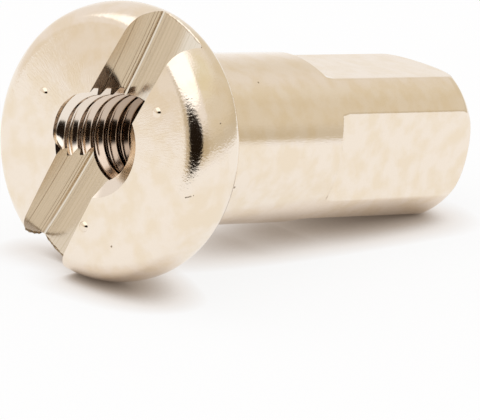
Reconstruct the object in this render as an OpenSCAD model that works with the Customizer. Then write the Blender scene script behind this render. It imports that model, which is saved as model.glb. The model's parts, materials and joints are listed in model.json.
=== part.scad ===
// Spoke nipple: a small slotted, flanged nut that pulls a wheel spoke tight through its rim.
// It is turned, milled and plated as one piece. It is drawn along its own axis, face first,
// and then laid down on the rim of its head and the far end of one wrench flat.

/* [Overall] */
// Length from the middle of the face to the tail end
length = 11.9; // [10:0.1:16]
// Diameter of the round barrel behind the head
barrel_d = 4.0; // [3.8:0.05:4.2]

/* [Head] */
// Largest diameter of the head
head_d = 6.44; // [6:0.02:7]
// Radius of the shallow dome of the face
dome_r = 40; // [20:1:80]
// Radius of the corner between the face and the side
corner_r = 0.52; // [0.4:0.02:0.7]
// Radius of the bulging side
side_r = 1.65; // [1.2:0.05:2]
// Radius of the corner between the side and the underside
back_r = 0.55; // [0.4:0.05:0.8]
// Slope of the underside that seats in the rim, from the axis
seat_slope = 45; // [40:1:50]

/* [Slot] */
// Width of the driver slot
slot_w = 1.44; // [1.2:0.02:1.6]
// Depth of the slot on the axis
slot_depth = 1.28; // [1:0.02:1.5]
// Diameter of the slitting saw that leaves the slot's floor curved
saw_d = 48; // [30:1:80]
// Turn of the slot from the nearest pair of wrench flats
slot_turn = 20; // [0:1:45]

/* [Bore] */
// Diameter inside the thread crests
thread_minor_d = 1.86; // [1.8:0.02:2]
// Distance from the face to the far end of the thread
thread_end = 6.2; // [5:0.1:7]
// Diameter of the smooth bore that clears the spoke
clear_d = 2.5; // [2.4:0.05:2.6]
// Diameter of the countersink at the face
sink_d = 2.48; // [2.3:0.02:2.7]
// Angle of the countersink from side to side
sink_angle = 120; // [90:5:130]
// Sideways wander of the countersink from the axis, down and away from the front flat
sink_shift = [0.04, -0.1]; // [-0.15:0.01:0.15]

/* [Wrench flats] */
// Distance across the flats
across_flats = 3.41; // [3.3:0.01:3.5]
// Distance from the face to the shoulder of the flats
flats_start = 6.6; // [6:0.1:8]
// Length of the steep part of the shoulder
shoulder_len = 0.12; // [0.05:0.01:0.3]
// Height left to the shallow part of the shoulder
runout_h = 0.03; // [0.02:0.005:0.1]
// Length of the shallow part of the shoulder
runout_len = 0.25; // [0.2:0.05:1]
// Radius round the tail end
tail_r = 0.69; // [0.5:0.01:0.8]

/* [Hidden] */
$fn = 96;
past = 0.5; // how far a cut runs past the metal

head_r = head_d / 2;
barrel_r = barrel_d / 2;
flat_h = across_flats / 2;
minor_r = thread_minor_d / 2;
clear_r = clear_d / 2;
sink_r = sink_d / 2;
sink_slope = tan(sink_angle / 2);
saw_r = saw_d / 2;

// Normals of the head's outline, from square to the axis: positive towards the face
front_turn = 19; // where the corner meets the bulging side
back_turn = -12; // where the side meets the back corner
seat_turn = -seat_slope; // where the back corner meets the underside

// Centres of the outline's arcs as [radius, distance from the face]
corner_mid_r = head_r - side_r + (side_r - corner_r) * cos(front_turn);
dome_turn = asin(corner_mid_r / (dome_r - corner_r));
corner_mid = [corner_mid_r, dome_r - (dome_r - corner_r) * cos(dome_turn)];
side_mid = [head_r - side_r, corner_mid[1] + (side_r - corner_r) * sin(front_turn)];
back_mid = [side_mid[0] + (side_r - back_r) * cos(back_turn),
            side_mid[1] - (side_r - back_r) * sin(back_turn)];
seat_top = arc_point(back_mid, back_r, seat_turn);
seat_end = seat_top[1] + (seat_top[0] - barrel_r) / tan(seat_slope);

// How it lies: the head's back corner and side touch the ground at one point, the flat's
// middle at another. lie_turn is the axis's fall towards the tail.
flat_end = length - tail_r + sqrt(tail_r * tail_r - pow(flat_h - barrel_r + tail_r, 2));
rest_gap = side_mid[0] - flat_h;
rest_run = flat_end - side_mid[1];
lie_turn = asin(side_r / norm([rest_gap, rest_run])) + atan2(rest_gap, rest_run);
rest_h = side_mid[0] * cos(lie_turn) + side_r + side_mid[1] * sin(lie_turn);
// How far the head reaches back and the tail reaches forward of the middle of the face
head_reach = corner_mid[0] * sin(lie_turn) + corner_r - corner_mid[1] * cos(lie_turn);
tail_reach = (barrel_r - tail_r) * sin(lie_turn) + tail_r + (length - tail_r) * cos(lie_turn);
mid_x = (tail_reach - head_reach) / 2;

// A point of an arc whose normal leans turn degrees from square to the axis
function arc_point(mid, r, turn) = [mid[0] + r * cos(turn), mid[1] - r * sin(turn)];

// Points of an arc from one lean of the normal to another
function arc(mid, r, from, to, steps) =
    [for (i = [0 : steps]) arc_point(mid, r, from + (to - from) * i / steps)];

// Half the outline, as [radius, distance from the face]
function outline() = concat(
    arc([0, dome_r], dome_r, 90, 90 - dome_turn, 4),
    arc(corner_mid, corner_r, 90 - dome_turn, front_turn, 8),
    arc(side_mid, side_r, front_turn, back_turn, 6),
    arc(back_mid, back_r, back_turn, seat_turn, 4),
    [[barrel_r, seat_end]],
    arc([barrel_r - tail_r, length - tail_r], tail_r, 0, -90, 8),
    [[0, length]]);

module blank() {
    rotate_extrude() polygon(outline());
}

// The slot that a slitting saw leaves, deepest on the axis
module slot() {
    rotate([0, 0, slot_turn])
        translate([0, 0, slot_depth - saw_r])
            rotate([90, 0, 0]) cylinder(r = saw_r, h = slot_w, center = true);
}

// Countersink, threaded hole at the diameter of its crests, and smooth hole from the tail
module bore() {
    translate([0, 0, -past]) cylinder(r = minor_r, h = length);
    translate([0, 0, thread_end]) cylinder(r = clear_r, h = length);
    translate([sink_shift[0], sink_shift[1], -past])
        cylinder(r1 = sink_r + past * sink_slope, r2 = 0, h = past + sink_r / sink_slope);
}

// What one pass of the cutter takes off beside a flat, with its run-out towards the head
module flat_cut() {
    wide = 2 * barrel_r;
    shoulder = flats_start + shoulder_len;
    rotate([90, 0, 0]) translate([0, 0, -wide / 2])
        linear_extrude(wide)
            polygon([
                [barrel_r + past, flats_start - shoulder_len * past / (barrel_r - flat_h)],
                [barrel_r, flats_start],
                [flat_h + runout_h, shoulder],
                [flat_h, shoulder + runout_len],
                [flat_h, length + past],
                [barrel_r + past, length + past]]);
}

module nipple() {
    color("wheat")
        translate([-mid_x, 0, rest_h])
            rotate([0, 90 + lie_turn, 0])
                difference() {
                    blank();
                    slot();
                    bore();
                    for (side = [0 : 3]) rotate([0, 0, 90 * side]) flat_cut();
                }
}

nipple();
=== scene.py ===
import json
import math

import bpy
import numpy as np
from mathutils import Matrix, Vector


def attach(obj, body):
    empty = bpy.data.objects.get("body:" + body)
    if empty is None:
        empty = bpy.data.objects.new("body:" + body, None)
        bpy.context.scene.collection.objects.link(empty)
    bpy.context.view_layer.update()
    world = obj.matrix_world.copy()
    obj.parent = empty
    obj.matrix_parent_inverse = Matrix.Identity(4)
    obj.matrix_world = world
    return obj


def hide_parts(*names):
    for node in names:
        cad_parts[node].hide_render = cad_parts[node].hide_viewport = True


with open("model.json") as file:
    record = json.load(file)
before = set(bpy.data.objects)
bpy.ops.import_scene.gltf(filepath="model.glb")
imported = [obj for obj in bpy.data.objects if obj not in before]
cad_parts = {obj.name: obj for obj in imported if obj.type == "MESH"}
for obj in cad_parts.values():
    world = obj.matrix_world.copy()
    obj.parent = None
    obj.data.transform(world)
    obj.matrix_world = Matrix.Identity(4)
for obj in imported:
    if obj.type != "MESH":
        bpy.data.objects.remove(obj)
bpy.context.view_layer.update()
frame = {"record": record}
print("packed nipple loaded")


def toLinear(colour):  # from an sRGB hex value
    parts = [int(colour[i:i + 2], 16) / 255 for i in (1, 3, 5)]
    return tuple(c / 12.92 if c <= 0.04045 else ((c + 0.055) / 1.055) ** 2.4 for c in parts) + (1.0,)


def addNode(tree, kind, inputs=None, **settings):
    node = tree.nodes.new(kind)
    for name, value in settings.items():
        setattr(node, name, value)
    for name, value in (inputs or {}).items():
        if isinstance(value, bpy.types.NodeSocket):
            tree.links.new(value, node.inputs[name])
        else:
            node.inputs[name].default_value = value
    return node


# The nipple is made along its own axis, in millimetres: x is down, y away from the camera, z from
# the face towards the tail. This lays it where the solid lies.
mounts = {mount["name"]: mount for mount in frame["record"]["mounts"]}
tailwards = Vector(mounts["barrel"]["axis"]).normalized()
away = Vector((0, 1, 0))
lying = Matrix((away.cross(tailwards), away, tailwards)).transposed()
barrelAt = 0.0046  # metres, how far that mount is from the face
faceMiddle = Vector(mounts["barrel"]["pos_m"]) - barrelAt * tailwards


def layDown(points):
    return np.asarray(points) @ np.array(lying).T / 1000 + np.array(faceMiddle)


def newPart(name, points, faces, material):
    mesh = bpy.data.meshes.new(name)
    mesh.from_pydata([tuple(p) for p in points], [], faces)
    mesh.materials.append(material)
    mesh.update()
    part = bpy.data.objects.new(name, mesh)
    bpy.context.scene.collection.objects.link(part)
    return part


# Finishes. Brass is turned, sawn and tapped, then barrel-plated with bright nickel. That gives a
# warm silver mirror whose fine grain breaks up the edges of what it reflects. The metal in the
# bore is darkened inwards as painted shade.
plating = {
    "colour": "#F4E7D7", "yellower": "#F0E0C9", "roughness": 0.1,
    "patch": 0.55, "patchEdges": (0.42, 0.62),  # mm, size of the slightly yellower patches
    "swell": 0.4, "swellHeight": 0.0011,        # mm, slow unevenness of the plate
    "grain": 0.045, "grainLength": 0.2,         # mm at the rim, tumbling marks, drawn coarser to show
    "grainHeight": 0.0014,
    "knock": 0.055, "knockHeight": 0.0034,      # mm, the rounded edge is knocked more than the face
    "knockFrom": (2.45, 2.8),                   # mm from the axis
    "speck": "#9A8872", "speckCore": 0.4,       # colour of a speck, and the share that is fully dark
}
sawnFinish = {
    "colour": "#EADFCF", "darker": "#E1D5C1", "roughness": 0.18,
    "mark": 0.05, "markHeight": 0.0002,  # mm, spacing and depth of the saw's marks
    "markEdges": (0.3, 0.5),             # where in the noise the darker metal ends
    "score": "#A39274",                  # colour of a deeper line
    "scores": [(0.17, 0.012), (0.29, 0.01), (0.82, 0.011)],  # mm from the floor, and half the width
    "scoreDepth": 0.2, "scoreSoft": 1.5,                     # shares of half the width
}
threadFinish = {"colour": "#F0E3D4", "roughness": 0.11}
boreFinish = {"colour": "#E2D5C2", "roughness": 0.3}
inside = {  # mm from the nearer mouth, and the metal's colour there, darkened inwards as painted shade
    "deepest": 5.0,
    "stops": [(0.4, "#F0E4D6"), (1.2, "#DCCAB9"), (2.2, "#AE9885"), (4.0, "#4A382B")],
}
# A burr's colour is darkened as a painted dark reflection
burrDarkenedFinish = {"colour": "#A8967E", "roughness": 0.3}


def newMetal(name, colour, roughness):
    material = bpy.data.materials.new(name)
    material.use_nodes = True
    shader = material.node_tree.nodes["Principled BSDF"]
    shader.inputs["Metallic"].default_value = 1.0
    shader.inputs["Base Color"].default_value = toLinear(colour)
    shader.inputs["Roughness"].default_value = roughness
    return material, material.node_tree, shader


def inMillimetres(tree):  # the nipple's own x, y, z from the object's metres
    place = addNode(tree, "ShaderNodeTexCoord").outputs["Object"]
    moved = addNode(tree, "ShaderNodeVectorMath", {0: place, 1: faceMiddle}, operation="SUBTRACT")
    turned = addNode(tree, "ShaderNodeMapping", {"Vector": moved.outputs[0],
                     "Rotation": lying.transposed().to_euler()})
    return addNode(tree, "ShaderNodeVectorMath", {0: turned.outputs[0], "Scale": 1000.0},
                   operation="SCALE").outputs[0]


def fillRamp(node, stops):
    while len(node.color_ramp.elements) < len(stops):
        node.color_ramp.elements.new(0.5)
    for element, (position, colour) in zip(node.color_ramp.elements, stops):
        element.position, element.color = position, toLinear(colour)


def platedBrass(specks):  # bright plate over turned brass
    p = plating
    material, tree, shader = newMetal("brightNickelPlate", p["colour"], p["roughness"])
    place = inMillimetres(tree)
    patches = addNode(tree, "ShaderNodeTexNoise", {"Vector": place, "Scale": 1 / p["patch"], "Detail": 3.0})
    colour = addNode(tree, "ShaderNodeValToRGB", {"Fac": patches.outputs["Fac"]})
    fillRamp(colour, list(zip(p["patchEdges"], (p["colour"], p["yellower"]))))
    swell = addNode(tree, "ShaderNodeTexNoise", {"Vector": place, "Scale": 1 / p["swell"], "Detail": 2.0})
    # The grain runs outwards on the face and lengthwise on the barrel
    rim = 2.6  # mm from the axis, where the grain has its true width
    x, y, z = addNode(tree, "ShaderNodeSeparateXYZ", {"Vector": place}).outputs
    flat = addNode(tree, "ShaderNodeCombineXYZ", {"X": x, "Y": y}).outputs[0]
    towards = addNode(tree, "ShaderNodeVectorMath", {0: flat}, operation="NORMALIZE").outputs[0]
    radius = addNode(tree, "ShaderNodeVectorMath", {0: flat}, operation="LENGTH").outputs["Value"]
    run = addNode(tree, "ShaderNodeMath", {0: radius, 1: z}, operation="ADD").outputs[0]
    run = addNode(tree, "ShaderNodeMath", {0: run, 1: 1 / p["grainLength"]}, operation="MULTIPLY").outputs[0]
    around = addNode(tree, "ShaderNodeVectorMath", {0: towards, "Scale": rim / p["grain"]}, operation="SCALE")
    along = addNode(tree, "ShaderNodeCombineXYZ", {"Z": run}).outputs[0]
    spot = addNode(tree, "ShaderNodeVectorMath", {0: around.outputs[0], 1: along}, operation="ADD").outputs[0]
    grain = addNode(tree, "ShaderNodeTexNoise", {"Vector": spot, "Scale": 1.0, "Detail": 2.0,
                    "Roughness": 0.6})
    bump = addNode(tree, "ShaderNodeBump", {"Height": swell.outputs["Fac"], "Strength": 1.0,
                   "Distance": p["swellHeight"] / 1000})
    bump = addNode(tree, "ShaderNodeBump", {"Height": grain.outputs["Fac"], "Strength": 1.0,
                   "Distance": p["grainHeight"] / 1000, "Normal": bump.outputs[0]})
    knocks = addNode(tree, "ShaderNodeTexNoise", {"Vector": place, "Scale": 1 / p["knock"], "Detail": 2.0})
    edge = addNode(tree, "ShaderNodeMapRange", {"Value": radius, "From Min": p["knockFrom"][0],
                   "From Max": p["knockFrom"][1]}, interpolation_type="SMOOTHSTEP").outputs[0]
    knocked = addNode(tree, "ShaderNodeMath", {0: knocks.outputs["Fac"], 1: edge}, operation="MULTIPLY")
    bump = addNode(tree, "ShaderNodeBump", {"Height": knocked.outputs[0], "Strength": 1.0,
                   "Distance": p["knockHeight"] / 1000, "Normal": bump.outputs[0]})
    result = colour.outputs["Color"]
    for centre, radius, depth in specks:
        gap = addNode(tree, "ShaderNodeVectorMath", {0: place, 1: centre}, operation="DISTANCE")
        mask = addNode(tree, "ShaderNodeMapRange", {"Value": gap.outputs["Value"], "From Min": radius,
                       "From Max": radius * p["speckCore"]}, interpolation_type="SMOOTHSTEP")
        result = addNode(tree, "ShaderNodeMix", {0: mask.outputs[0], 6: result, 7: toLinear(p["speck"])},
                         data_type="RGBA").outputs[2]
        bump = addNode(tree, "ShaderNodeBump", {"Height": mask.outputs[0], "Strength": 1.0,
                       "Distance": -depth / 1000, "Normal": bump.outputs[0]})
    tree.links.new(result, shader.inputs["Base Color"])
    tree.links.new(bump.outputs[0], shader.inputs["Normal"])
    return material


def sawnBrass(slot):  # plate over saw marks: arcs round the saw on the walls, lines along the floor
    p = sawnFinish
    material, tree, shader = newMetal("sawnNickelPlate", p["colour"], p["roughness"])
    alongSlot = addNode(tree, "ShaderNodeMapping", {"Vector": inMillimetres(tree),
                        "Rotation": (0, 0, -math.radians(slot["turn"])),
                        "Location": (0, 0, slot["sawR"] - slot["depth"])}).outputs[0]
    across = addNode(tree, "ShaderNodeSeparateXYZ", {"Vector": alongSlot}).outputs["Y"]
    spoke = addNode(tree, "ShaderNodeVectorMath", {0: alongSlot, 1: (1, 0, 1)}, operation="MULTIPLY")
    reach = addNode(tree, "ShaderNodeVectorMath", {0: spoke.outputs[0]}, operation="LENGTH").outputs["Value"]
    run = addNode(tree, "ShaderNodeMath", {0: reach, 1: across}, operation="ADD").outputs[0]
    run = addNode(tree, "ShaderNodeMath", {0: run, 1: 1 / p["mark"]}, operation="MULTIPLY").outputs[0]
    marks = addNode(tree, "ShaderNodeTexNoise", {"W": run, "Scale": 1.0, "Detail": 2.0},
                    noise_dimensions="1D")
    colour = addNode(tree, "ShaderNodeValToRGB", {"Fac": marks.outputs["Fac"]})
    fillRamp(colour, list(zip(p["markEdges"], (p["darker"], p["colour"]))))
    result = colour.outputs["Color"]
    bump = addNode(tree, "ShaderNodeBump", {"Height": marks.outputs["Fac"], "Strength": 1.0,
                   "Distance": p["markHeight"] / 1000})
    for lift, half in p["scores"]:
        gap = addNode(tree, "ShaderNodeMath", {0: reach, 1: slot["sawR"] - lift}, operation="SUBTRACT")
        gap = addNode(tree, "ShaderNodeMath", {0: gap.outputs[0]}, operation="ABSOLUTE").outputs[0]
        mask = addNode(tree, "ShaderNodeMapRange", {"Value": gap, "From Min": half * p["scoreSoft"],
                       "From Max": 0.0}, interpolation_type="SMOOTHSTEP")
        result = addNode(tree, "ShaderNodeMix", {0: mask.outputs[0], 6: result, 7: toLinear(p["score"])},
                         data_type="RGBA").outputs[2]
        bump = addNode(tree, "ShaderNodeBump", {"Height": mask.outputs[0], "Strength": 1.0,
                       "Distance": -half * p["scoreDepth"] / 1000, "Normal": bump.outputs[0]})
    tree.links.new(result, shader.inputs["Base Color"])
    tree.links.new(bump.outputs[0], shader.inputs["Normal"])
    return material


def boreShadedBrass(name, finish, length):  # painted shade: the plate's colour darkens with the distance from the nearer mouth
    material, tree, shader = newMetal(name, finish["colour"], finish["roughness"])
    z = addNode(tree, "ShaderNodeSeparateXYZ", {"Vector": inMillimetres(tree)}).outputs["Z"]
    other = addNode(tree, "ShaderNodeMath", {0: length, 1: z}, operation="SUBTRACT").outputs[0]
    depth = addNode(tree, "ShaderNodeMath", {0: z, 1: other}, operation="MINIMUM").outputs[0]
    share = addNode(tree, "ShaderNodeMath", {0: depth, 1: inside["deepest"]}, operation="DIVIDE").outputs[0]
    colour = addNode(tree, "ShaderNodeValToRGB", {"Fac": share})
    fillRamp(colour, [(mm / inside["deepest"], tone) for mm, tone in inside["stops"]])
    tree.links.new(colour.outputs["Color"], shader.inputs["Base Color"])
    return material


# The turned and milled body
nipple = {  # millimetres and degrees, the same as the solid's
    "length": 11.9, "barrelR": 2.0,
    "headR": 3.22, "domeR": 40.0, "cornerR": 0.52, "sideR": 1.65, "backR": 0.55,
    "frontTurn": 19.0, "backTurn": -12.0, "seatTurn": -45.0, "neckR": 0.12,
    "tailR": 0.69, "flatH": 1.705, "flatsStart": 6.6,
    "shoulderLen": 0.12, "runoutH": 0.03, "runoutLen": 0.25,
    "edgeSoft": 0.035,         # width over which plating rounds a milled edge
    "bendSoft": (0.03, 0.1),   # the same for the two bends of a shoulder
    "innerR": 0.5, "endR": 0.8,  # where the drawn face and tail start, inside the bore's edges
    "around": 384,
    # Place, radius and depth of each small pit; the last six are one scratch
    "specks": [((2.144, -1.128, 0.073), 0.034, 0.006), ((-1.67, -1.102, 4.117), 0.034, 0.006),
               ((0.588, -1.911, 3.033), 0.04, 0.01), ((-1.274, -2.942, 0.763), 0.03, 0.006),
               ((0.47, -2.873, 0.165), 0.02, 0.003), ((0.456, -2.895, 0.182), 0.02, 0.003),
               ((0.443, -2.917, 0.2), 0.02, 0.003), ((0.428, -2.94, 0.216), 0.02, 0.003),
               ((0.415, -2.962, 0.233), 0.02, 0.003), ((0.387, -3.006, 0.267), 0.016, 0.003)],
}
slotCut = {"width": 1.44, "depth": 1.28, "sawR": 24.0, "turn": 20.0, "toothR": 0.07,
           "reach": 4.2, "above": 1.0, "steps": 72}  # the blade goes past the head and above the face
bore = {"minorR": 0.96, "majorR": 1.13, "pitch": 0.4536, "rootHalf": 0.075, "cornerSoft": 0.018,
        "grooveAt": 0.517, "grooveTurn": 87.5,  # where the groove's middle is, in mm and degrees
        "threadShift": (-0.08, 0.1),            # the tap wandered a little off the axis
        "leadIn": (-0.1, -0.02),                # in turns
        "flank": math.tan(math.radians(30)),    # half the angle between the flanks
        "turnsBefore": 3, "past": 0.6,          # the tap starts above the face and stops in the wide part
        "threadEnd": 6.2, "clearR": 1.25,
        "drillR": 0.8, "drillTip": 0.25, "drillPast": 0.5,
        "drillLean": (-0.5, 0.86),              # the normal of the drill's cone, inwards and tailwards
        "sinkR": 1.24, "sinkShift": (0.04, -0.1), "sinkSlope": math.tan(math.radians(60)),
        "sinkPast": 0.3, "sinkTip": 0.02,
        "around": 72, "drillAround": 128}

brightPlate = platedBrass(nipple["specks"])
sawnPlate = sawnBrass(slotCut)
threadShadedPlate = boreShadedBrass("tappedNickelPaintedShade", threadFinish, nipple["length"])
boreShadedPlate = boreShadedBrass("drilledNickelPaintedShade", boreFinish, nipple["length"])
# The countersink shines like the thread; a burr's colour is darker, as a painted dark reflection
sinkPlate = newMetal("countersunkNickelPlate", threadFinish["colour"], threadFinish["roughness"])[0]
burrDarkenedPlate = newMetal("burrPaintedDarkReflection", burrDarkenedFinish["colour"], burrDarkenedFinish["roughness"])[0]


# Each row of the outline is a radius, a distance from the face, and the outward normal
def arcRows(middle, radius, fromTurn, toTurn, steps):
    turns = np.radians(np.linspace(fromTurn, toTurn, steps + 1))
    return np.stack([middle[0] + radius * np.cos(turns), middle[1] - radius * np.sin(turns),
                     np.cos(turns), -np.sin(turns)], 1)


def straightRows(start, end, normal, steps):
    t = np.linspace(0, 1, steps + 1)[:, None]
    points = np.array(start) + t * (np.array(end) - np.array(start))
    return np.hstack([points, np.repeat(np.array([normal], float), steps + 1, 0)])


def outlineRows(n):
    front, back, seatLean = (math.radians(n[key]) for key in ("frontTurn", "backTurn", "seatTurn"))
    cornerMidR = n["headR"] - n["sideR"] + (n["sideR"] - n["cornerR"]) * math.cos(front)
    domeTurn = math.degrees(math.asin(cornerMidR / (n["domeR"] - n["cornerR"])))
    cornerMid = (cornerMidR, n["domeR"] - (n["domeR"] - n["cornerR"]) * math.cos(math.radians(domeTurn)))
    sideMid = (n["headR"] - n["sideR"], cornerMid[1] + (n["sideR"] - n["cornerR"]) * math.sin(front))
    backMid = (sideMid[0] + (n["sideR"] - n["backR"]) * math.cos(back),
               sideMid[1] - (n["sideR"] - n["backR"]) * math.sin(back))
    domeStart = math.degrees(math.asin(n["innerR"] / n["domeR"]))
    dome = arcRows((0, n["domeR"]), n["domeR"], 90 - domeStart, 90 - domeTurn, 8)
    corner = arcRows(cornerMid, n["cornerR"], 90 - domeTurn, n["frontTurn"], 18)
    side = arcRows(sideMid, n["sideR"], n["frontTurn"], n["backTurn"], 10)
    backCorner = arcRows(backMid, n["backR"], n["backTurn"], n["seatTurn"], 8)
    seatTop = backCorner[-1, :2]
    neckMid = (n["barrelR"] + n["neckR"],
               seatTop[1] + seatTop[0] - n["barrelR"] + n["neckR"] * math.tan(-seatLean / 2))
    turns = np.linspace(-seatLean, 0, 6)
    neck = np.stack([neckMid[0] - n["neckR"] * np.cos(turns), neckMid[1] - n["neckR"] * np.sin(turns),
                     np.cos(turns), np.sin(turns)], 1)
    seat = straightRows(seatTop, neck[0, :2], backCorner[-1, 2:], 3)
    r, start, end = n["barrelR"], n["flatsStart"], n["length"]
    before, beyond = start - 0.06, start + 0.6  # between these the rows are close together
    barrel = straightRows((r, neck[-1, 1]), (r, before), (1, 0), 5)
    runOut = straightRows((r, before), (r, beyond), (1, 0), 30)
    grip = straightRows((r, beyond), (r, end - n["tailR"]), (1, 0), 6)
    tail = arcRows((r - n["tailR"], end - n["tailR"]), n["tailR"], 0, -90, 20)
    tailEnd = straightRows((r - n["tailR"], end), (n["endR"], end), (0, 1), 1)
    return np.vstack([dome] + [rows[1:] for rows in (corner, side, backCorner, seat, neck, barrel, runOut,
                                                     grip, tail, tailEnd)])


def flatHeight(n, z):  # how far a flat is from the axis, and its slope there
    bends = (n["flatsStart"] + n["shoulderLen"], n["flatsStart"] + n["shoulderLen"] + n["runoutLen"])
    left = n["flatH"] + n["runoutH"]
    steep = (left - n["barrelR"]) / n["shoulderLen"]
    gentle = -n["runoutH"] / n["runoutLen"]
    height = np.where(z < bends[0], left + steep * (z - bends[0]),
                      np.where(z < bends[1], left + gentle * (z - bends[0]), n["flatH"]))
    slope = np.where(z < bends[0], steep, np.where(z < bends[1], gentle, 0.0))
    for bend, change, ease in zip(bends, (gentle - steep, -gentle), n["bendSoft"]):
        t = np.clip((z - bend) / ease, -1, 1)
        height = height + change * ease * (1 - np.abs(t)) ** 2 / 4
        slope = slope - change * np.sign(t) * (1 - np.abs(t)) / 2
    return height, slope


def turnedBlank(n, material):
    rows = outlineRows(n)
    angles = np.linspace(0, 2 * math.pi, n["around"], endpoint=False)
    square = np.maximum(np.abs(np.cos(angles)), np.abs(np.sin(angles)))
    soft, leastOutward = n["edgeSoft"], 0.15
    points = []
    for r, z, outward, _ in rows:
        radius = np.full_like(angles, r)
        if z > n["flatsStart"] - 0.1 and r > n["flatH"] - 0.05:
            height, slope = flatHeight(n, np.array(z))
            low, high = radius * 0.6, radius + 0.05
            for _ in range(26):  # closes in on the radius where the round and the flat blend
                middle = (low + high) / 2
                a = (middle - r) * max(outward, leastOutward)
                b = (middle * square - height) / math.sqrt(1 + float(slope) ** 2)
                over = np.maximum(a, b) + np.maximum(soft - np.abs(a - b), 0) ** 2 / (4 * soft) > 0
                low, high = np.where(over, low, middle), np.where(over, middle, high)
            radius = np.minimum((low + high) / 2, r)
        points.append(np.stack([radius * np.cos(angles), radius * np.sin(angles),
                                np.full_like(angles, z)], 1))
    m, last = n["around"], (len(rows) - 1) * n["around"]
    faces = [(i * m + j, (i + 1) * m + j, (i + 1) * m + (j + 1) % m, i * m + (j + 1) % m)
             for i in range(len(rows) - 1) for j in range(m)]
    faces += [tuple(range(m)), tuple(last + j for j in reversed(range(m)))]
    return newPart("spokeNipple", np.vstack(points), faces, material)


def sawPath(s, u):  # depth of the slot's floor at u along it
    return s["depth"] - s["sawR"] + np.sqrt(s["sawR"] ** 2 - u ** 2)


def slotDirections(s):
    turn = math.radians(s["turn"])
    return np.array([math.cos(turn), math.sin(turn), 0]), np.array([-math.sin(turn), math.cos(turn), 0])


def sawBlade(s, material):
    along, across = slotDirections(s)
    half, r = s["width"] / 2, s["toothR"]
    turns = np.radians(np.linspace(0, 90, 6))
    corner = np.stack([half - r + r * np.cos(turns), -r + r * np.sin(turns)], 1)
    section = np.vstack([corner, corner[::-1] * (-1, 1)])
    points = []
    for u in np.linspace(-s["reach"], s["reach"], s["steps"] + 1):
        rim = [(v, sawPath(s, u) + lift) for v, lift in section]
        rim = [(half, -s["above"])] + rim + [(-half, -s["above"])]
        points += [u * along + v * across + np.array([0, 0, z]) for v, z in rim]
    m, count = len(section) + 2, s["steps"] + 1
    faces = [(i * m + k, i * m + (k + 1) % m, (i + 1) * m + (k + 1) % m, (i + 1) * m + k)
             for i in range(count - 1) for k in range(m)]
    faces += [tuple(reversed(range(m))), tuple((count - 1) * m + k for k in range(m))]
    return newPart("sawBlade", points, faces, material)


def threadRadius(b, u):  # u is the distance along the axis from the middle of a groove
    u = np.abs((u + b["pitch"] / 2) % b["pitch"] - b["pitch"] / 2)
    depth = b["majorR"] - b["minorR"]
    flank = depth * b["flank"]
    rise = (u - b["rootHalf"]) / flank
    soft = b["cornerSoft"] / flank
    rise = np.maximum(rise, 0) + np.maximum(soft - np.abs(rise), 0) ** 2 / (4 * soft)
    rise = np.minimum(rise, 1) - np.maximum(soft - np.abs(rise - 1), 0) ** 2 / (4 * soft)
    return b["majorR"] - depth * rise


def leadIn(b, turns):  # the first turn grows out of the countersink
    share = np.clip((turns - b["leadIn"][0]) / (b["leadIn"][1] - b["leadIn"][0]), 0, 1)
    return share * share * (3 - 2 * share)


def tap(b, material):
    flank = (b["majorR"] - b["minorR"]) * b["flank"]
    near, far, soft = b["rootHalf"], b["rootHalf"] + flank, b["cornerSoft"]
    half = [0, near - soft, near, near + soft, (near + far) / 2, far - soft, far, far + soft]
    steps = half + [b["pitch"] / 2] + [b["pitch"] - u for u in reversed(half[1:])]
    rows, m = len(steps), b["around"]
    start = b["grooveAt"] - b["turnsBefore"] * b["pitch"]
    count = int((b["threadEnd"] + b["past"] - start) / b["pitch"]) * rows
    points = []
    for i in range(count + 1):
        along = b["pitch"] * (i // rows) + steps[i % rows]
        cut = float(threadRadius(b, along)) - b["minorR"]
        for j in range(m):
            r = b["minorR"] + cut * float(leadIn(b, round(along / b["pitch"]) + 1 - b["turnsBefore"] + j / m))
            angle = math.radians(b["grooveTurn"]) + 2 * math.pi * j / m
            points.append((b["threadShift"][0] + r * math.cos(angle),
                           b["threadShift"][1] + r * math.sin(angle),
                           start + along + b["pitch"] * j / m))
    faces = []
    for i in range(count):
        faces += [(i * m + j, i * m + j + 1, (i + 1) * m + j + 1, (i + 1) * m + j) for j in range(m - 1)]
        if i + rows < count:  # each turn ends where the next one starts
            faces.append((i * m + m - 1, (i + rows) * m, (i + rows + 1) * m, (i + 1) * m + m - 1))
    top = list(range(m)) + [(rows - k) * m for k in range(rows)]
    bottom = [count * m + j for j in range(m)] + [(count - 1 - k) * m + m - 1 for k in range(rows)]
    # The middles of the two end caps
    points += [(0, 0, start - 0.6), (0, 0, start + b["pitch"] * (count // rows + 1) + 0.3)]
    for ring, middle, turnOver in ((top, len(points) - 2, True), (bottom, len(points) - 1, False)):
        for a, c in zip(ring, ring[1:] + ring[:1]):
            faces.append((c, a, middle) if turnOver else (a, c, middle))
    return newPart("tap", points, faces, material)


def roundCutter(name, profile, shift, around, material):
    angles = np.linspace(0, 2 * math.pi, around, endpoint=False)
    points = [(shift[0] + r * math.cos(a), shift[1] + r * math.sin(a), z)
              for r, z in profile for a in angles]
    m, last = around, (len(profile) - 1) * around
    faces = [(i * m + j, i * m + (j + 1) % m, (i + 1) * m + (j + 1) % m, (i + 1) * m + j)
             for i in range(len(profile) - 1) for j in range(m)]
    faces += [tuple(reversed(range(m))), tuple(last + j for j in range(m))]
    return newPart(name, points, faces, material)


def cutAway(part, cutter):
    step = part.modifiers.new("cut", "BOOLEAN")
    step.operation, step.solver, step.object, step.material_mode = "DIFFERENCE", "EXACT", cutter, "TRANSFER"
    result = bpy.data.meshes.new_from_object(part.evaluated_get(bpy.context.evaluated_depsgraph_get()))
    part.modifiers.clear()
    old, part.data = part.data, result
    spent = cutter.data
    bpy.data.objects.remove(cutter)
    for mesh in (old, spent):
        bpy.data.meshes.remove(mesh)


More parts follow.
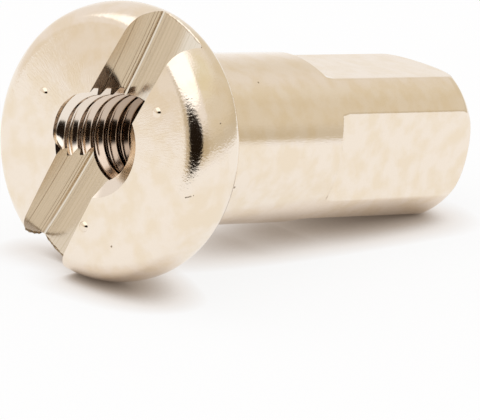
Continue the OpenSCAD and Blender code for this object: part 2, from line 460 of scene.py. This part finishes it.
body = turnedBlank(nipple, brightPlate)
print("blank turned")
cutAway(body, sawBlade(slotCut, sawnPlate))
reach = bore["sinkR"] / bore["sinkSlope"]
sinkProfile = [(bore["sinkR"] + bore["sinkPast"] * bore["sinkSlope"], -bore["sinkPast"]),
               (bore["sinkTip"], reach - bore["sinkTip"] / bore["sinkSlope"])]
cutAway(body, roundCutter("countersink", sinkProfile, bore["sinkShift"], bore["drillAround"], sinkPlate))
cutAway(body, tap(bore, threadShadedPlate))
drillProfile = [(bore["drillR"], bore["threadEnd"] - bore["drillTip"]),
                (bore["clearR"], bore["threadEnd"]), (bore["clearR"], nipple["length"] + bore["drillPast"])]
cutAway(body, roundCutter("drill", drillProfile, (0, 0), bore["drillAround"], boreShadedPlate))
print("slot sawn, bore drilled and tapped:", len(body.data.polygons), "faces")


def nearestOutline(rows, r, z):
    a, b = rows[:-1], rows[1:]
    run = b[:, :2] - a[:, :2]
    normals, gaps = np.empty((len(r), 2)), np.empty(len(r))
    chunk = 20000  # points at a time, to spare memory
    for i in range(0, len(r), chunk):
        p = np.stack([r[i:i + chunk], z[i:i + chunk]], 1)
        t = np.clip(((p[:, None] - a[None, :, :2]) * run).sum(2) / (run ** 2).sum(1), 0, 1)
        foot = a[None, :, :2] + t[..., None] * run
        k = ((p[:, None] - foot) ** 2).sum(2).argmin(1)
        m = np.arange(len(p))
        share = t[m, k][:, None]
        normal = a[k, 2:] * (1 - share) + b[k, 2:] * share
        normal /= np.linalg.norm(normal, axis=1)[:, None]
        normals[i:i + chunk] = normal
        gaps[i:i + chunk] = ((p - foot[m, k]) * normal).sum(1)
    return normals, gaps


def bodyNormals(p):
    n = nipple
    r = np.hypot(p[:, 0], p[:, 1])
    outline, a = nearestOutline(outlineRows(n), r, p[:, 2])
    turned = np.hstack([p[:, :2] / r[:, None] * outline[:, :1], outline[:, 1:]])
    height, slope = flatHeight(n, p[:, 2])
    sideways = np.abs(p[:, 0]) > np.abs(p[:, 1])
    flat = np.stack([np.where(sideways, np.sign(p[:, 0]), 0),
                     np.where(sideways, 0, np.sign(p[:, 1])), -slope], 1)
    length = np.linalg.norm(flat, axis=1)
    b = np.where(p[:, 2] > n["flatsStart"] - 0.15, (np.abs(p[:, :2]).max(1) - height) / length, -1)
    share = np.clip(0.5 + (a - b) / (2 * n["edgeSoft"]), 0, 1)[:, None]
    return turned * share + flat / length[:, None] * (1 - share)


def slotNormals(p):
    s = slotCut
    along, across = slotDirections(s)
    u, v = p @ along, p @ across
    lift = p[:, 2] - sawPath(s, u)
    half, r = s["width"] / 2, s["toothR"]
    out = np.clip((np.abs(v) - half + r) / r, 0, 1)
    down = np.clip((lift + r) / r, 0, 1)
    length = np.hypot(out, down)
    lean = u / s["sawR"]
    floorNormal = -lean[:, None] * along - np.sqrt(1 - lean ** 2)[:, None] * np.array([0, 0, 1])
    mixed = floorNormal * down[:, None] - (np.sign(v) * out)[:, None] * across
    return mixed / np.maximum(length, 1e-6)[:, None]


def sinkNormals(p):
    d = p[:, :2] - np.array(bore["sinkShift"])
    d /= np.linalg.norm(d, axis=1)[:, None]
    return np.hstack([-d, np.full((len(d), 1), -bore["sinkSlope"])])


def threadNormals(p):
    b = bore
    flat = p[:, :2] - np.array(b["threadShift"])
    r = np.hypot(flat[:, 0], flat[:, 1])
    e = flat / r[:, None]
    angle = np.arctan2(flat[:, 1], flat[:, 0]) - math.radians(b["grooveTurn"])
    u = p[:, 2] - b["grooveAt"] - b["pitch"] * angle / (2 * math.pi)
    turns = np.round(u / b["pitch"]) + 1 + angle / (2 * math.pi)
    du, dt = 1e-4, 1e-3
    slope = leadIn(b, turns) * (threadRadius(b, u + du) - threadRadius(b, u - du)) / (2 * du)
    growing = (leadIn(b, turns + dt) - leadIn(b, turns - dt)) / (2 * dt)
    growth = (threadRadius(b, u) - b["minorR"]) * growing
    turning = (growth - slope * b["pitch"]) / (2 * math.pi) / r
    return np.stack([-(e[:, 0] + e[:, 1] * turning), -(e[:, 1] - e[:, 0] * turning), slope], 1)


def boreNormals(p):
    e = p[:, :2] / np.hypot(p[:, 0], p[:, 1])[:, None]
    cone = (p[:, 2] < bore["threadEnd"] - 1e-4)[:, None]
    inwards, tailward = bore["drillLean"]
    return np.hstack([np.where(cone, inwards * e, -e), np.where(cone, tailward, 0)])


def shadeTruly(part):  # the true surfaces' normals, so that small faces beside a cut don't show
    mesh = part.data
    corners, sizes = np.empty(len(mesh.loops), int), np.empty(len(mesh.polygons), int)
    which, facing = np.empty(len(mesh.polygons), int), np.empty(len(mesh.polygons) * 3)
    places = np.empty(len(mesh.vertices) * 3)
    mesh.loops.foreach_get("vertex_index", corners)
    mesh.polygons.foreach_get("loop_total", sizes)
    mesh.polygons.foreach_get("material_index", which)
    mesh.polygons.foreach_get("normal", facing)
    mesh.vertices.foreach_get("co", places)
    places = places.reshape(-1, 3)
    which, facing = np.repeat(which, sizes), np.repeat(facing.reshape(-1, 3), sizes, 0)
    ways = {brightPlate: bodyNormals, sawnPlate: slotNormals, sinkPlate: sinkNormals,
            threadShadedPlate: threadNormals, boreShadedPlate: boreNormals}
    normals, leastMatch = facing.copy(), 0.1
    for i, material in enumerate(mesh.materials):
        mine = which == i
        found = ways[material](places[corners[mine]])
        found /= np.linalg.norm(found, axis=1)[:, None]
        wrong = (found * facing[mine]).sum(1) < leastMatch
        print(material.name, int(mine.sum()), "corners,", int(wrong.sum()), "kept flat")
        found[wrong] = facing[mine][wrong]
        normals[mine] = found
    mesh.polygons.foreach_set("use_smooth", np.ones(len(mesh.polygons), bool))
    mesh.vertices.foreach_set("co", layDown(places).ravel())
    mesh.update()
    mesh.normals_split_custom_set([tuple(normal) for normal in normals @ np.array(lying).T])


shadeTruly(body)
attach(body, "root")
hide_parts("nipple")
print("nipple shaded and laid down")


# Three small pips that stand out of the face
pip = {"places": [(1.87, 111.1), (2.01, -125.5), (1.952, -6.5)],  # mm from the axis, and the angle
       "radius": 0.13, "height": 0.055, "sunk": 0.004, "shape": 1.5, "rings": 6, "around": 20}


def raisedPips(s, domeR, material):
    points, faces = [], []
    rings, around = s["rings"], s["around"]
    for radius, turn in s["places"]:
        foot = np.array([radius * math.cos(math.radians(turn)), radius * math.sin(math.radians(turn)),
                         domeR - math.sqrt(domeR ** 2 - radius ** 2)])
        first = len(points)
        for i in range(rings):
            t = i / (rings - 1)
            r = s["radius"] * math.sin(t * math.pi / 2)
            lift = s["height"] * math.cos(t * math.pi / 2) ** s["shape"] - s["sunk"]
            for j in range(around):
                a = 2 * math.pi * j / around
                points.append(foot + np.array([r * math.cos(a), r * math.sin(a), -lift]))
        faces += [(first + i * around + j, first + (i + 1) * around + j,
                   first + (i + 1) * around + (j + 1) % around, first + i * around + (j + 1) % around)
                  for i in range(1, rings - 1) for j in range(around)]
        faces.append(tuple(first + around + j for j in range(around)))
    pips = newPart("facePips", layDown(points), faces, material)
    for polygon in pips.data.polygons:
        polygon.use_smooth = True
    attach(pips, "root")


# Thin ragged beads of metal that the saw pushed over its edges
burr = {
    "upperR": 0.024, "lowerR": 0.018, "wallR": 0.024, "leastR": 0.002,  # mm
    "shy": 0.06,                                   # mm short of the slot's corners
    "wallFrom": 0.3, "wallTo": 1.0,                # mm from the face
    "coarse": (0.3, 23), "fine": (0.2, 61, 1),     # share of the radius, rate and start of each wave
    "taper": 8, "floorSteps": 50, "wallSteps": 30, "around": 8,
}


def burrLine(name, path, radius, material):
    points, around = [], burr["around"]
    coarse, fine, taper = burr["coarse"], burr["fine"], burr["taper"]
    path = np.array(path)
    for i, centre in enumerate(path):
        t = i / (len(path) - 1)
        ahead = path[min(i + 1, len(path) - 1)] - path[max(i - 1, 0)]
        ahead /= np.linalg.norm(ahead)
        side = np.cross(ahead, (0, 0, 1))
        side /= np.linalg.norm(side)
        ragged = 1 + coarse[0] * math.sin(coarse[1] * t) + fine[0] * math.sin(fine[1] * t + fine[2])
        r = radius * ragged * min(1, taper * t, taper * (1 - t)) + burr["leastR"]
        for j in range(around):
            a = 2 * math.pi * j / around
            points.append(centre + r * (math.cos(a) * side + math.sin(a) * np.cross(side, ahead)))
    faces = [(i * around + j, i * around + (j + 1) % around, (i + 1) * around + (j + 1) % around,
              (i + 1) * around + j) for i in range(len(path) - 1) for j in range(around)]
    faces += [tuple(reversed(range(around))), tuple((len(path) - 1) * around + j for j in range(around))]
    bead = newPart(name, layDown(points), faces, material)
    for polygon in bead.data.polygons:
        polygon.use_smooth = True
    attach(bead, "root")


def headRadius(z):
    rows, sideEnd = outlineRows(nipple), 2.2
    rows = rows[rows[:, 1] < sideEnd]
    return float(np.interp(z, rows[:, 1], rows[:, 0]))


def floorEnd(s, end, v):  # where the slot's floor meets the side of the head
    along, across = slotDirections(s)
    low, high = 2.0, 3.6
    for _ in range(30):
        u = (low + high) / 2
        low, high = (u, high) if math.hypot(u, v) < headRadius(float(sawPath(s, u))) else (low, u)
    return end * u * along + v * across + np.array([0, 0, float(sawPath(s, u))])


def wallEnd(s, end, side, z):  # where a wall of the slot meets the side of the head
    along, across = slotDirections(s)
    v = side * s["width"] / 2
    return end * math.sqrt(headRadius(z) ** 2 - v ** 2) * along + v * across + np.array([0, 0, z])


raisedPips(pip, nipple["domeR"], brightPlate)
half = slotCut["width"] / 2 - burr["shy"]
floorSteps = np.linspace(half, -half, burr["floorSteps"])
wallSteps = np.linspace(burr["wallFrom"], burr["wallTo"], burr["wallSteps"])
burrLine("upperBurr", [floorEnd(slotCut, -1, v) for v in floorSteps], burr["upperR"], brightPlate)
burrLine("lowerBurr", [floorEnd(slotCut, 1, v) for v in floorSteps], burr["lowerR"], burrDarkenedPlate)
burrLine("wallBurr", [wallEnd(slotCut, 1, 1, z) for z in wallSteps], burr["wallR"], burrDarkenedPlate)
print("pips and burrs added")

# The stage: a pale matt card, and the room that the plate reflects. The card's own white is lifted
# a little for the camera and in reflections by a glow that carries a painted shadow: it turns
# warm and dark where something stands close above it.
card = {"half": 0.085, "colour": "#F5F5F8", "roughness": 0.9, "lift": 0.85, "near": 0.0011,  # metres
        "shade": [(0.0, "#4A3C30"), (0.3, "#AA9B8D"), (0.65, "#EEE7E1"), (1.0, "#FFFFFF")]}
h = card["half"]
cardMesh = bpy.data.meshes.new("paleCard")
cardMesh.from_pydata([(-h, -h, 0), (h, -h, 0), (h, h, 0), (-h, h, 0)], [], [(0, 1, 2, 3)])
floor = bpy.data.objects.new("paleCard", cardMesh)
bpy.context.scene.collection.objects.link(floor)
mattCard = bpy.data.materials.new("mattCard")
mattCard.use_nodes = True
tree = mattCard.node_tree
tree.nodes["Principled BSDF"].inputs["Base Color"].default_value = toLinear(card["colour"])
tree.nodes["Principled BSDF"].inputs["Roughness"].default_value = card["roughness"]
rays = addNode(tree, "ShaderNodeLightPath").outputs
seen = rays["Is Camera Ray"]
for ray in ("Is Glossy Ray", "Is Transmission Ray"):
    seen = addNode(tree, "ShaderNodeMath", {0: seen, 1: rays[ray]}, operation="MAXIMUM").outputs[0]
seen = addNode(tree, "ShaderNodeMath", {0: seen, 1: card["lift"]}, operation="MULTIPLY").outputs[0]
# Painted shadow: the glow's colour goes from white to warm brown where the card lies close under the nipple
openness = addNode(tree, "ShaderNodeAmbientOcclusion", {"Distance": card["near"]}, samples=16)
shade = addNode(tree, "ShaderNodeValToRGB", {"Fac": openness.outputs["AO"]})
fillRamp(shade, card["shade"])
liftAndPaintedShadow = addNode(tree, "ShaderNodeEmission", {"Color": shade.outputs["Color"]})
lifted = addNode(tree, "ShaderNodeMixShader", {0: seen, 1: tree.nodes["Principled BSDF"].outputs[0],
                 2: liftAndPaintedShadow.outputs[0]})
tree.links.new(lifted.outputs[0], tree.nodes["Material Output"].inputs["Surface"])
cardMesh.materials.append(mattCard)

# Place in metres, directions to the right, up and ahead, and focal length in mm
view = {"place": (-0.120413, -0.099887, 0.051159), "right": (0.66263, -0.74072, 0.11074),
        "up": (0.15999, 0.28445, 0.94525), "ahead": (0.73166, 0.60863, -0.30700), "lens": 525.6}
scene = bpy.context.scene
camera = bpy.data.objects.new("camera", bpy.data.cameras.new("camera"))
scene.collection.objects.link(camera)
camera.data.lens = view["lens"]
camera.data.clip_start = 0.001  # metres
facing = Matrix((view["right"], view["up"], -Vector(view["ahead"]))).transposed().to_4x4()
camera.matrix_world = Matrix.Translation(view["place"]) @ facing
scene.camera = camera
scene.view_settings.view_transform = "Standard"

room = {  # in degrees from behind the camera and above the table's edge
    "up": (0.02401, 0.16881, 0.98540),
    "air": "#F4F0ED", "table": "#F7F6F7", "tableEdge": (-3.2, -1.0),
    "glow": ("#FBF8F5", (140, 165), (-15, 14), (5, 6)),              # bright low strip ahead
    "things": [  # colour, left to right, soft sides, low to high, soft ends
        ("#EEE7DD", (-112, -68), (12, 12), (1, 15), (2, 5)),         # low wall on the left
        ("#E2D9C7", (62, 165), (14, 14), (-3, 32), (2.5, 8)),        # wooden wall on the right
        ("#D3C9B6", (25, 150), (16, 12), (-3, 7), (2.5, 6)),         # its darker foot
        ("#ECE6D0", (66, 125), (14, 14), (32, 52), (8, 10)),         # its lit top
        ("#C7BAA3", (-64, 60), (10, 14), (-6, 15), (3, 8)),          # shaded room behind the camera
    ],
    "camera": {"colour": "#1E160F", "middle": (-8, 8.5), "radii": (37, 17.5), "soft": (1.15, 0.78)},
    "softbox": {"strength": 1.4, "left": -0.8, "right": 0.56, "ahead": 0.2, "lowEdge": 0.49, "lean": 0.22,
                "soft": (0.03, 0.12, 0.12, 0.06)},
}
world = bpy.data.worlds.new("studio")
scene.world = world
world.use_nodes = True
sky = world.node_tree


def edgeMask(value, outside, inside):  # 0 outside an edge, 1 inside it, soft between
    return addNode(sky, "ShaderNodeMapRange", {"Value": value, "From Min": outside, "From Max": inside},
                   interpolation_type="SMOOTHSTEP").outputs[0]


def bandMask(value, limits, soft):
    low = edgeMask(value, limits[0] - soft[0], limits[0] + soft[0])
    high = edgeMask(value, limits[1] + soft[1], limits[1] - soft[1])
    return addNode(sky, "ShaderNodeMath", {0: low, 1: high}, operation="MULTIPLY").outputs[0]


def layOver(under, masks, colour, strength=1.0):
    mask = masks[0]
    for other in masks[1:]:
        mask = addNode(sky, "ShaderNodeMath", {0: mask, 1: other}, operation="MULTIPLY").outputs[0]
    bright = tuple(c * strength for c in toLinear(colour)[:3]) + (1.0,)
    return addNode(sky, "ShaderNodeMix", {0: mask, 6: under, 7: bright}, data_type="RGBA").outputs[2]


roomUp = Vector(room["up"]).normalized()
roomRight = (Vector(view["right"]) - Vector(view["right"]).dot(roomUp) * roomUp).normalized()
turnRoom = Matrix((roomRight, roomUp.cross(roomRight), roomUp)).to_euler()
turned = addNode(sky, "ShaderNodeMapping", {"Vector": addNode(sky, "ShaderNodeTexCoord").outputs["Generated"],
                 "Rotation": turnRoom})
toRight, ahead, upwards = addNode(sky, "ShaderNodeSeparateXYZ", {"Vector": turned.outputs[0]}).outputs
back = addNode(sky, "ShaderNodeMath", {0: ahead, 1: -1.0}, operation="MULTIPLY").outputs[0]
behind = addNode(sky, "ShaderNodeMath", {0: toRight, 1: back}, operation="ARCTAN2").outputs[0]
behind = addNode(sky, "ShaderNodeMath", {0: behind}, operation="DEGREES").outputs[0]
height = addNode(sky, "ShaderNodeMath", {0: upwards}, operation="ARCSINE").outputs[0]
height = addNode(sky, "ShaderNodeMath", {0: height}, operation="DEGREES").outputs[0]
light = layOver(toLinear(room["table"]), [edgeMask(height, *room["tableEdge"])], room["air"])
colour, sides, heights, softEnds = room["glow"]
sideways = addNode(sky, "ShaderNodeMath", {0: behind}, operation="ABSOLUTE").outputs[0]
light = layOver(light, [edgeMask(sideways, *sides), bandMask(height, heights, softEnds)], colour)
for colour, sides, softSides, heights, softEnds in room["things"]:
    light = layOver(light, [bandMask(behind, sides, softSides), bandMask(height, heights, softEnds)], colour)
box = room["softbox"]
softLeft, softRight, softAhead, softLow = box["soft"]
leaning = addNode(sky, "ShaderNodeMath", {0: toRight, 1: -box["lean"]}, operation="MULTIPLY").outputs[0]
raised = addNode(sky, "ShaderNodeMath", {0: upwards, 1: leaning}, operation="ADD").outputs[0]
light = layOver(light, [bandMask(toRight, (box["left"], box["right"]), (softLeft, softRight)),
                        edgeMask(ahead, box["ahead"] + softAhead, box["ahead"] - softAhead),
                        edgeMask(raised, box["lowEdge"] - softLow, box["lowEdge"] + softLow)],
                "#FFFFFF", box["strength"])
dark = room["camera"]
spot = addNode(sky, "ShaderNodeCombineXYZ", {"X": behind, "Y": height}).outputs[0]
spot = addNode(sky, "ShaderNodeVectorMath", {0: spot, 1: (*dark["middle"], 0)}, operation="SUBTRACT")
spot = addNode(sky, "ShaderNodeVectorMath", {0: spot.outputs[0], 1: (*dark["radii"], 1)}, operation="DIVIDE")
off = addNode(sky, "ShaderNodeVectorMath", {0: spot.outputs[0]}, operation="LENGTH").outputs["Value"]
light = layOver(light, [edgeMask(off, *dark["soft"])], dark["colour"])
sky.links.new(light, sky.nodes["Background"].inputs["Color"])
print("stage, camera and room set")
